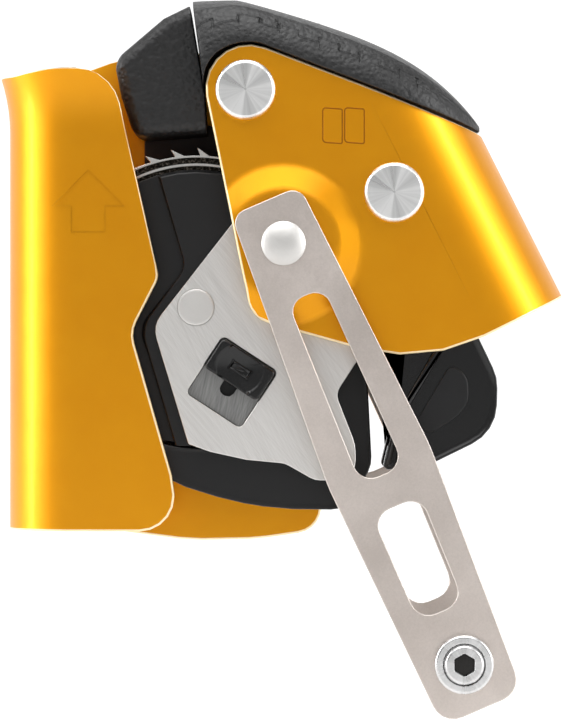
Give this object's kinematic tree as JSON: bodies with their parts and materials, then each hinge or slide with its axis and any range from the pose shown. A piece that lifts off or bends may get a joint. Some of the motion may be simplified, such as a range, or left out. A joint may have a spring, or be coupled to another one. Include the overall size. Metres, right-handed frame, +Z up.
{
  "type": "rope grab fall arrester",
  "caption": "Wheel-type rope grab: folded frame with a rope channel, spring-closed folding arm with grip and toothed wheel, and a swinging link for a lanyard.",
  "frame": {"origin": "on the axis of the rope channel's bend, at mid-height of the channel", "axes": "+Z up along the rope channel, +X towards the arm's closed side, +Y to the back"},
  "size_m": [0.1143, 0.0517, 0.1445],
  "materials": {
    "gold_anodised": "satin anodised",
    "black_plastic": "fine grain",
    "bright_steel": "brushed",
    "satin_steel": "tumbled satin",
    "turned_aluminium": "turned",
    "dark_steel": "blackened",
    "brass": "machined"
  },
  "bodies": {
    "frame": {"frame_plate": "gold_anodised", "pivot_bush": "brass"},
    "arm": {"arm_shell": "gold_anodised", "grip": "black_plastic", "nose": "black_plastic", "main_pin": "turned_aluminium", "rear_pin": "turned_aluminium", "pivot_spacer": "bright_steel", "rear_spacer": "bright_steel", "closing_spring": "bright_steel", "link_rivet_front": "bright_steel", "link_rivet_rear": "bright_steel", "front_plate": "bright_steel", "rear_plate": "bright_steel", "front_cover": "black_plastic", "rear_cover": "black_plastic", "wheel_shroud": "black_plastic", "wheel_axle": "bright_steel", "ratchet_ring": "bright_steel", "lock_floor": "bright_steel"},
    "wheel": {"wheel_ring": "dark_steel", "wheel_hub": "black_plastic", "wheel_bearing": "brass", "flyweight_pin_a": "bright_steel", "flyweight_pin_b": "bright_steel"},
    "flyweight_a": {"flyweight_a": "brass"},
    "flyweight_b": {"flyweight_b": "brass"},
    "lock": {"lock_button": "black_plastic"},
    "catch_front": {"catch_front": "black_plastic"},
    "catch_rear": {"catch_rear": "black_plastic"},
    "link": {"link_strip_front": "satin_steel", "link_strip_rear": "satin_steel", "link_washer_front": "black_plastic", "link_washer_rear": "black_plastic", "link_barrel": "bright_steel", "link_screw": "bright_steel", "link_spacer": "turned_aluminium", "link_nut": "bright_steel"}
  },
  "joints": [
    {"name": "arm_open", "type": "hinge", "parent": "frame", "child": "arm", "pos_m": [0.0336, 0, 0.042], "axis": [0, -1, 0], "range_deg": [0, 24], "stiffness_Nm_per_rad": 0.3, "springref_deg": -20.05},
    {"name": "wheel_spin", "type": "hinge", "parent": "arm", "child": "wheel", "pos_m": [0.0236, 0, -0.0014], "axis": [0, -1, 0], "continuous": true},
    {"name": "flyweight_a_swing", "type": "hinge", "parent": "wheel", "child": "flyweight_a", "pos_m": [0.0354, 0, 0.0085], "axis": [0, 1, 0], "range_deg": [0, 5], "stiffness_Nm_per_rad": 0.01, "springref_deg": -11.46},
    {"name": "flyweight_b_swing", "type": "hinge", "parent": "wheel", "child": "flyweight_b", "pos_m": [0.0118, 0, -0.0113], "axis": [0, 1, 0], "range_deg": [0, 5], "stiffness_Nm_per_rad": 0.01, "springref_deg": -11.46},
    {"name": "lock_slide", "type": "slide", "parent": "arm", "child": "lock", "axis": [-0.5476, 0, -0.8368], "range_m": [0, 0.0045]},
    {"name": "catch_front_press", "type": "hinge", "parent": "arm", "child": "catch_front", "pos_m": [0.0633, 0, 0.0215], "axis": [0, -1, 0], "range_deg": [0, 7], "stiffness_Nm_per_rad": 0.1, "springref_deg": -8.59},
    {"name": "catch_rear_press", "type": "hinge", "parent": "arm", "child": "catch_rear", "pos_m": [0.0633, 0, 0.0215], "axis": [0, -1, 0], "range_deg": [0, 7], "stiffness_Nm_per_rad": 0.1, "springref_deg": -8.59},
    {"name": "link_swing", "type": "hinge", "parent": "arm", "child": "link", "pos_m": [0.0412, 0, 0.0112], "axis": [0, -1, 0], "range_deg": [-50, 150]}
  ],
  "couplings": [
    {"joint": "flyweight_b_swing", "follows": "flyweight_a_swing", "ratio": 1}
  ]
}
